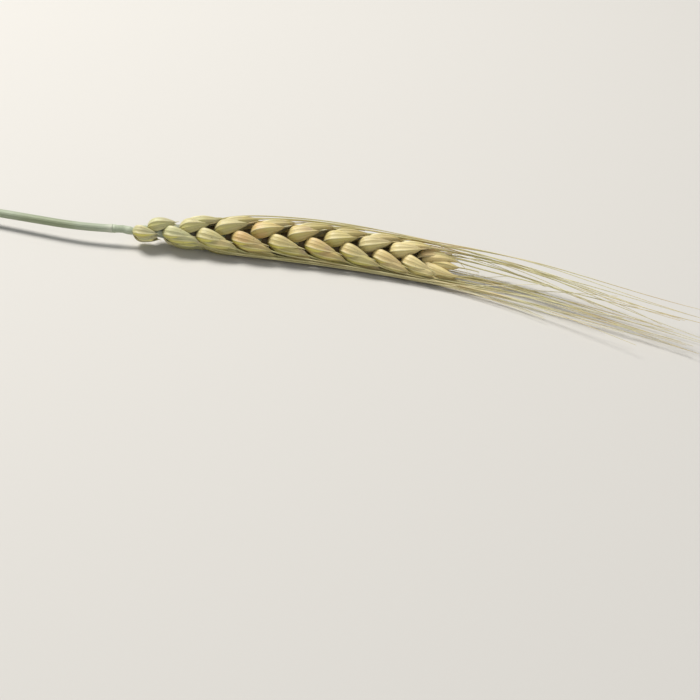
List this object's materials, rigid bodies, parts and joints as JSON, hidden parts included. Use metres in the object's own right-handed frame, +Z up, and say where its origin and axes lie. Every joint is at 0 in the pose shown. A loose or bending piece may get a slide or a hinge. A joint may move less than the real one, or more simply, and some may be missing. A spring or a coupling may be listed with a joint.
{
  "type": "wheat ear",
  "caption": "Bearded wheat ear lying on its side, with ranks of keeled husks in a braid, a beard of long stiff awns and a short length of hollow grey-green stem.",
  "frame": {"origin": "on the surface that the ear lies on, under the middle of the whole object's bounding box", "axes": "+X along the ear, from the cut stem to the tips of the awns; +Y to the back of the view in the picture; +Z up from the surface"},
  "size_m": [0.2603, 0.057, 0.011],
  "materials": {
    "straw": "dry papery husk, straw yellow with tan and greenish patches, dull with a slight sheen on the keels",
    "green_stem": "smooth grey-green straw with a whitish bloom and fine lengthwise lines"
  },
  "bodies": {
    "root": {"stem": "green_stem", "head": "straw"}
  },
  "joints": []
}
